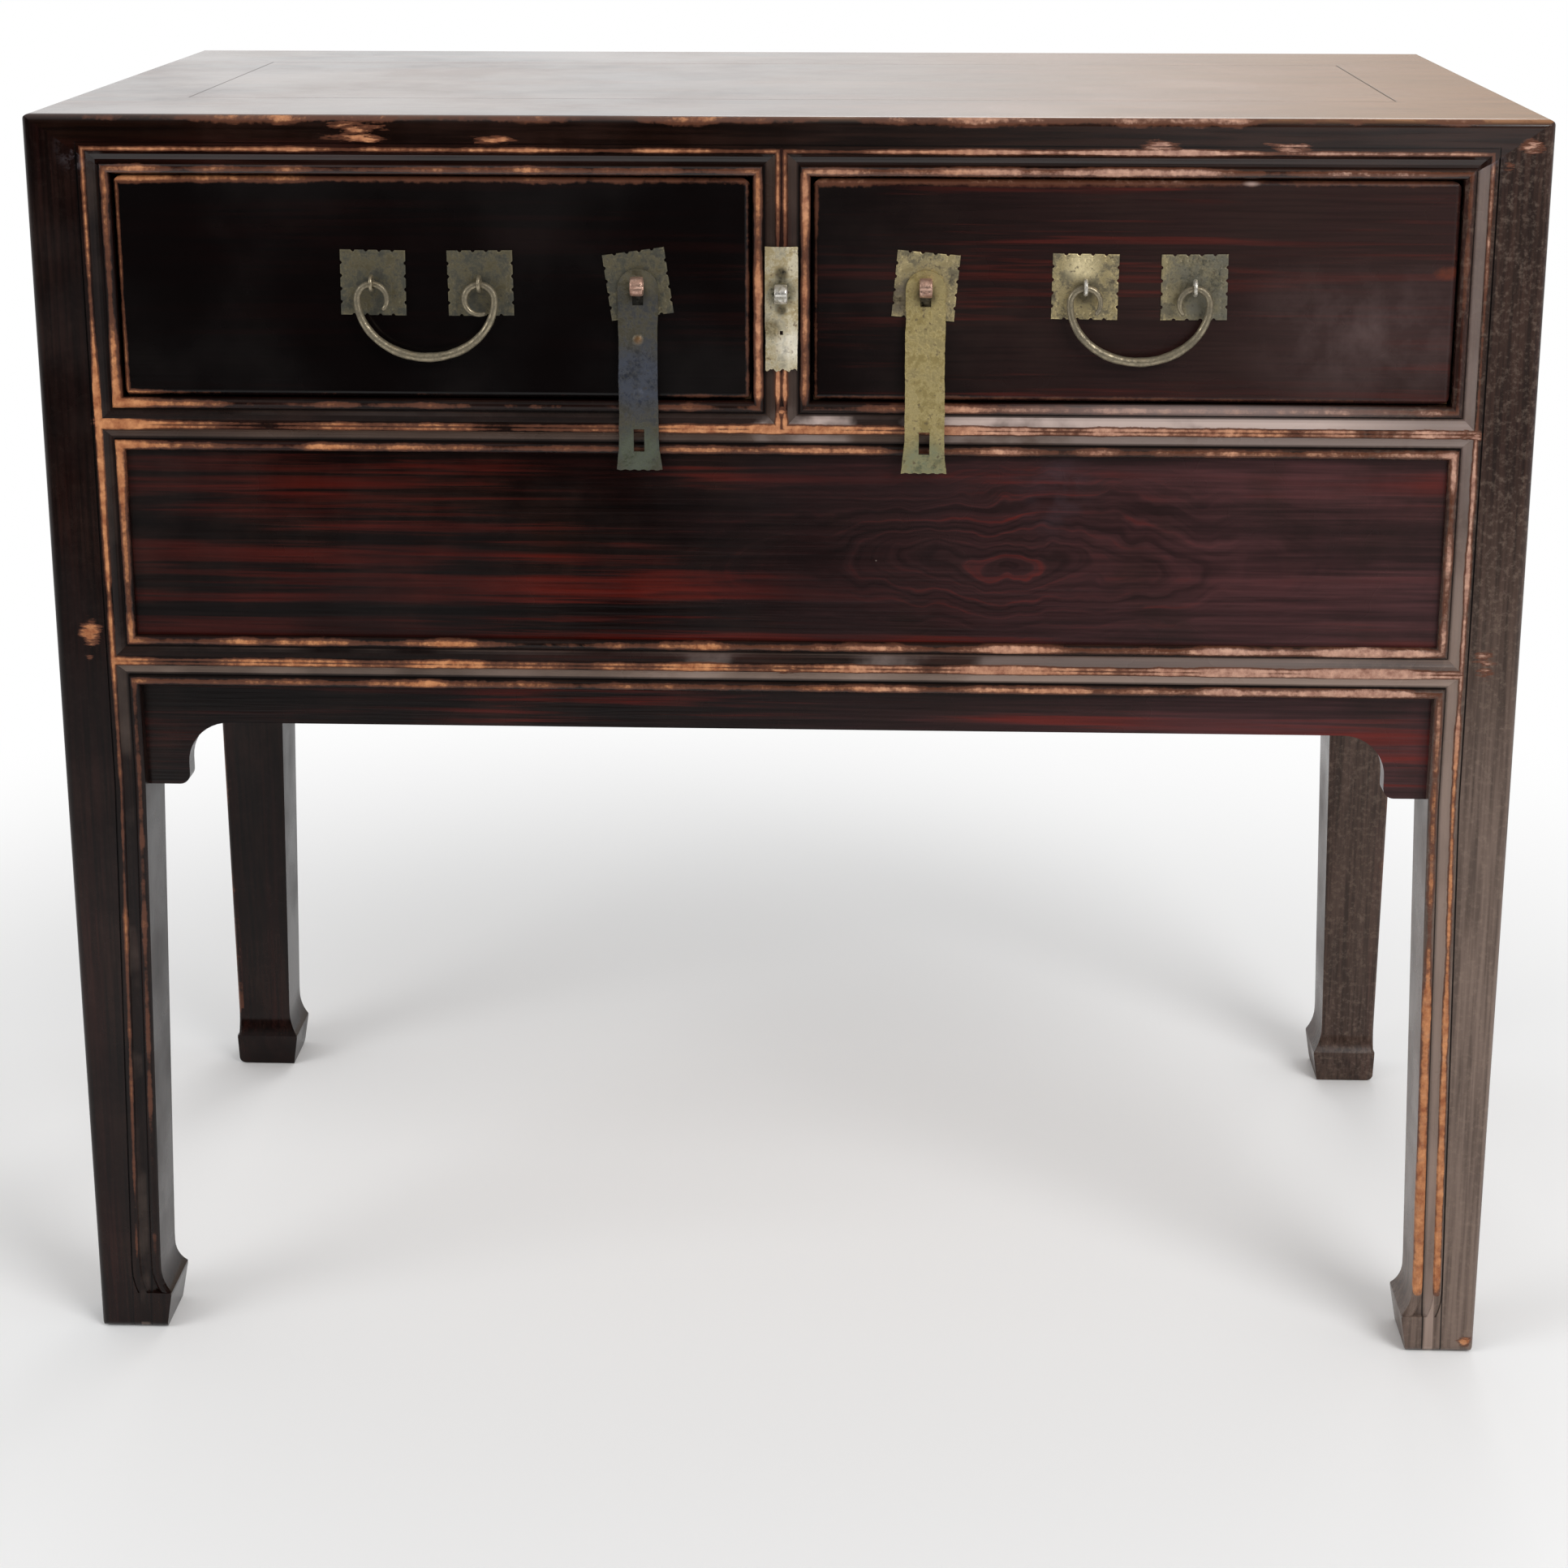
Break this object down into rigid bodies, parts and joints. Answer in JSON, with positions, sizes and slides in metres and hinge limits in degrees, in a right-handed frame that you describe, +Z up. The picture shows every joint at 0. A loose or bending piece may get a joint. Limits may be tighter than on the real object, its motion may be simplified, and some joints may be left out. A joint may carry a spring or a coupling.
{
  "type": "lacquered side table",
  "caption": "Lacquered side table with flush mitred frame, drawers over a hidden compartment, bail handles, swinging hasp straps and tapered legs with hoof feet.",
  "frame": {"origin": "on the floor, below the middle of the whole object's box", "axes": "+X to the viewer's right along the front, +Y from the front to the back, +Z up"},
  "size_m": [0.95, 0.5052, 0.84],
  "materials": {
    "lacquer": "worn dark brown lacquer, satin",
    "top_lacquer": "worn brown lacquer, glossy",
    "bare_wood": "bare wood, dull",
    "dark_brass": "dark patina",
    "yellow_brass": "worn, dull",
    "pale_brass": "worn, pale"
  },
  "bodies": {
    "carcase": {"top_front_rail": "top_lacquer", "top_back_rail": "top_lacquer", "top_left_stile": "top_lacquer", "top_right_stile": "top_lacquer", "top_front_board": "top_lacquer", "top_back_board": "top_lacquer", "top_battens": "bare_wood", "front_left_leg": "lacquer", "front_right_leg": "lacquer", "back_left_leg": "lacquer", "back_right_leg": "lacquer", "front_mid_rail": "lacquer", "front_bottom_rail": "lacquer", "drawer_divider": "lacquer", "front_panel": "lacquer", "front_apron": "lacquer", "left_mid_rail": "lacquer", "left_bottom_rail": "lacquer", "left_upper_panel": "lacquer", "left_lower_panel": "lacquer", "left_apron": "lacquer", "right_mid_rail": "lacquer", "right_bottom_rail": "lacquer", "right_upper_panel": "lacquer", "right_lower_panel": "lacquer", "right_apron": "lacquer", "back_mid_rail": "lacquer", "back_bottom_rail": "lacquer", "back_upper_panel": "lacquer", "back_lower_panel": "lacquer", "back_apron": "lacquer", "compartment_floor": "bare_wood", "left_runner": "bare_wood", "centre_runner": "bare_wood", "right_runner": "bare_wood", "lock_plate": "pale_brass", "lock_staple": "pale_brass"},
    "left_drawer_box": {"left_drawer_front": "lacquer", "left_drawer_left_side": "bare_wood", "left_drawer_right_side": "bare_wood", "left_drawer_back": "bare_wood", "left_drawer_bottom": "bare_wood", "left_bail_plates": "dark_brass", "left_bail_eyes": "dark_brass", "left_hasp_plate": "dark_brass", "left_hasp_staple": "dark_brass"},
    "right_drawer_box": {"right_drawer_front": "lacquer", "right_drawer_left_side": "bare_wood", "right_drawer_right_side": "bare_wood", "right_drawer_back": "bare_wood", "right_drawer_bottom": "bare_wood", "right_bail_plates": "yellow_brass", "right_bail_eyes": "yellow_brass", "right_hasp_plate": "yellow_brass", "right_hasp_staple": "yellow_brass"},
    "left_bail_handle": {"left_bail": "dark_brass"},
    "right_bail_handle": {"right_bail": "yellow_brass"},
    "left_strap": {"left_hasp_strap": "dark_brass"},
    "right_strap": {"right_hasp_strap": "yellow_brass"}
  },
  "joints": [
    {"name": "left_drawer_slide", "type": "slide", "parent": "carcase", "child": "left_drawer_box", "axis": [0, -1, 0], "range_m": [0, 0.32]},
    {"name": "right_drawer_slide", "type": "slide", "parent": "carcase", "child": "right_drawer_box", "axis": [0, -1, 0], "range_m": [0, 0.32]},
    {"name": "left_bail_swing", "type": "hinge", "parent": "left_drawer_box", "child": "left_bail_handle", "pos_m": [-0.224, -0.24035, 0.735], "axis": [-1, 0, 0], "range_deg": [0, 175]},
    {"name": "right_bail_swing", "type": "hinge", "parent": "right_drawer_box", "child": "right_bail_handle", "pos_m": [0.224, -0.24035, 0.735], "axis": [-1, 0, 0], "range_deg": [0, 175]},
    {"name": "left_strap_swing", "type": "hinge", "parent": "left_drawer_box", "child": "left_strap", "pos_m": [-0.0905, -0.2394, 0.735], "axis": [0, -1, 0], "range_deg": [-55, 59]},
    {"name": "right_strap_swing", "type": "hinge", "parent": "right_drawer_box", "child": "right_strap", "pos_m": [0.0905, -0.2394, 0.735], "axis": [0, 1, 0], "range_deg": [-55, 59]}
  ]
}
